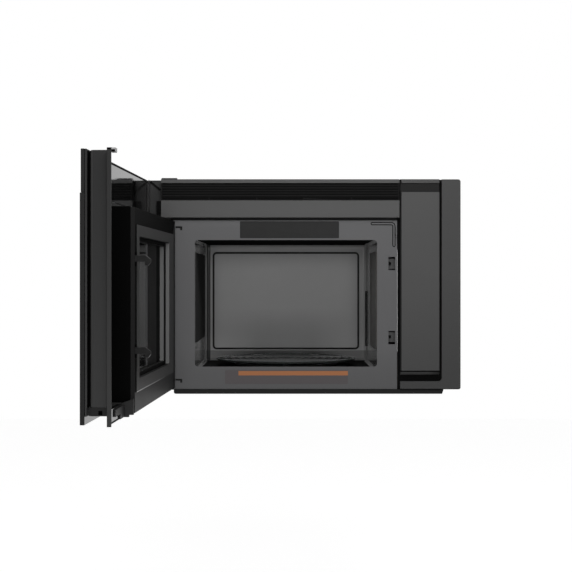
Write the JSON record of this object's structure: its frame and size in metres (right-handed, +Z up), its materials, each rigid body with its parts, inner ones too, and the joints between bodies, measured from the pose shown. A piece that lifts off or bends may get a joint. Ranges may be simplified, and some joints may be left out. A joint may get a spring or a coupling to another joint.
{
  "type": "over-the-range microwave",
  "caption": "Over-the-range microwave with its black glass door swung open at the left, showing the dark oven, glass turntable, grey front plate, top vent grille and slate case.",
  "frame": {"origin": "centre of the wall plate's back face, which lies against the wall", "axes": "+X to the user's right, +Y from the front towards the wall, +Z up"},
  "size_m": [0.6424, 0.8865, 0.4183],
  "materials": {
    "slate_steel": "dark slate stainless finish, satin",
    "black_enamel": "black enamel, semi-gloss",
    "plate_paint": "grey paint, satin",
    "oven_enamel": "dark grey oven enamel, glossy",
    "zinc_steel": "zinc-plated sheet, dull",
    "dark_steel": "black-coated steel, satin",
    "black_plastic": "black moulded plastic",
    "gloss_black_plastic": "black moulded plastic, glossy",
    "slate_plastic": "slate-coloured moulded plastic, satin",
    "grey_plastic": "grey moulded plastic",
    "white_plastic": "off-white moulded plastic",
    "red_plastic": "red moulded plastic",
    "black_glass": "black-backed glass, polished",
    "window_glass": "dark tinted glass",
    "clear_glass": "clear tempered glass",
    "lamp_lens": "frosted clear plastic",
    "mica": "mica sheet, dull",
    "screen_metal": "perforated black sheet",
    "mesh_aluminium": "layered aluminium mesh",
    "fin_aluminium": "aluminium, dull",
    "laminated_steel": "varnished laminated steel",
    "board_green": "circuit board",
    "board_brown": "circuit board",
    "charcoal": "charcoal filter pad"
  },
  "bodies": {
    "cabinet": {"wrap_cover": "slate_steel", "rear_panel": "zinc_steel", "base_pan": "black_enamel", "front_plate": "plate_paint", "corner_bulkhead": "slate_steel", "right_bulkhead": "black_enamel", "corner_block": "black_plastic", "top_grille": "black_plastic", "grille_trim": "slate_steel", "right_inset_panel": "slate_plastic", "right_frame": "slate_plastic", "bottom_trim": "black_plastic", "wall_plate": "zinc_steel", "cord_gland": "black_plastic", "cavity_liner": "oven_enamel", "waveguide_cover": "mica", "wall_cover": "gloss_black_plastic", "waveguide": "zinc_steel", "magnetron": "fin_aluminium", "fan_shroud": "white_plastic", "fan_motor": "laminated_steel", "transformer": "laminated_steel", "capacitor": "fin_aluminium", "power_board": "board_green", "noise_filter_board": "board_brown", "interlock_bracket": "grey_plastic", "door_switch_lower": "black_plastic", "door_switch_upper": "black_plastic", "turntable_motor": "zinc_steel", "blower_housing": "grey_plastic", "vent_motor": "dark_steel", "charcoal_filter": "charcoal", "lamp_housing": "white_plastic", "upper_hinge_bracket": "dark_steel", "lower_hinge_bracket": "dark_steel"},
    "door": {"door_front_glass": "black_glass", "door_vent_glass": "black_glass", "door_body": "gloss_black_plastic", "choke_frame": "dark_steel", "window_glass": "window_glass", "window_screen": "screen_metal", "door_end_channel": "slate_plastic", "door_end_cap": "grey_plastic", "door_bottom_rail": "black_plastic", "door_side_block": "grey_plastic", "touch_board": "board_green"},
    "latch": {"door_latch": "black_plastic"},
    "turntable": {"drive_coupler": "white_plastic", "glass_tray": "clear_glass"},
    "roller_ring": {"roller_ring": "white_plastic"},
    "roller_1": {"roller_1": "white_plastic"},
    "roller_2": {"roller_2": "white_plastic"},
    "roller_3": {"roller_3": "white_plastic"},
    "cooling_fan": {"fan_blade": "white_plastic"},
    "vent_wheels": {"blower_wheels": "black_plastic"},
    "grease_filter_left": {"grease_filter_left": "mesh_aluminium"},
    "grease_filter_right": {"grease_filter_right": "mesh_aluminium"},
    "lamp_cover": {"lamp_cover": "lamp_lens"},
    "plunger_lower": {"switch_plunger_lower": "red_plastic"},
    "plunger_upper": {"switch_plunger_upper": "red_plastic"}
  },
  "joints": [
    {"name": "door_swing", "type": "hinge", "parent": "cabinet", "child": "door", "pos_m": [-0.267, -0.3423, 0.10475], "axis": [0, 0, 1], "range_deg": [0, 92.75]},
    {"name": "latch_lift", "type": "slide", "parent": "door", "child": "latch", "axis": [0, 0, 1], "range_m": [0, 0.004], "stiffness_N_per_m": 300, "springref_m": -0.004},
    {"name": "turntable_spin", "type": "hinge", "parent": "cabinet", "child": "turntable", "pos_m": [-0.0355, -0.1698, -0.02], "axis": [0, 0, 1], "continuous": true},
    {"name": "ring_spin", "type": "hinge", "parent": "cabinet", "child": "roller_ring", "pos_m": [-0.0355, -0.1698, -0.0202], "axis": [0, 0, 1], "continuous": true},
    {"name": "roller_1_spin", "type": "hinge", "parent": "roller_ring", "child": "roller_1", "pos_m": [0.06236, -0.1133, -0.0202], "axis": [0.866, 0.5, 0], "continuous": true},
    {"name": "roller_2_spin", "type": "hinge", "parent": "roller_ring", "child": "roller_2", "pos_m": [-0.13336, -0.1133, -0.0202], "axis": [-0.866, 0.5, 0], "continuous": true},
    {"name": "roller_3_spin", "type": "hinge", "parent": "roller_ring", "child": "roller_3", "pos_m": [-0.0355, -0.2828, -0.0202], "axis": [0, -1, 0], "continuous": true},
    {"name": "cooling_fan_spin", "type": "hinge", "parent": "cabinet", "child": "cooling_fan", "pos_m": [0.22225, -0.0823, 0.153], "axis": [0, 1, 0], "continuous": true},
    {"name": "vent_wheels_spin", "type": "hinge", "parent": "cabinet", "child": "vent_wheels", "pos_m": [-0.0355, -0.0743, 0.2858], "axis": [1, 0, 0], "continuous": true},
    {"name": "grease_filter_left_slide", "type": "slide", "parent": "cabinet", "child": "grease_filter_left", "axis": [0, 1, 0], "range_m": [0, 0.008]},
    {"name": "grease_filter_right_slide", "type": "slide", "parent": "cabinet", "child": "grease_filter_right", "axis": [0, 1, 0], "range_m": [0, 0.008]},
    {"name": "lamp_cover_swing", "type": "hinge", "parent": "cabinet", "child": "lamp_cover", "pos_m": [-0.0355, -0.2727, -0.0685], "axis": [1, 0, 0], "range_deg": [0, 85]},
    {"name": "plunger_lower_push", "type": "slide", "parent": "cabinet", "child": "plunger_lower", "axis": [0, 1, 0], "range_m": [0, 0.0015], "stiffness_N_per_m": 400, "springref_m": -0.001},
    {"name": "plunger_upper_push", "type": "slide", "parent": "cabinet", "child": "plunger_upper", "axis": [0, 1, 0], "range_m": [0, 0.0015], "stiffness_N_per_m": 400, "springref_m": -0.001}
  ],
  "couplings": [
    {"joint": "ring_spin", "follows": "turntable_spin", "ratio": 0.5},
    {"joint": "roller_1_spin", "follows": "turntable_spin", "ratio": -10.273},
    {"joint": "roller_2_spin", "follows": "turntable_spin", "ratio": -10.273},
    {"joint": "roller_3_spin", "follows": "turntable_spin", "ratio": -10.273}
  ]
}
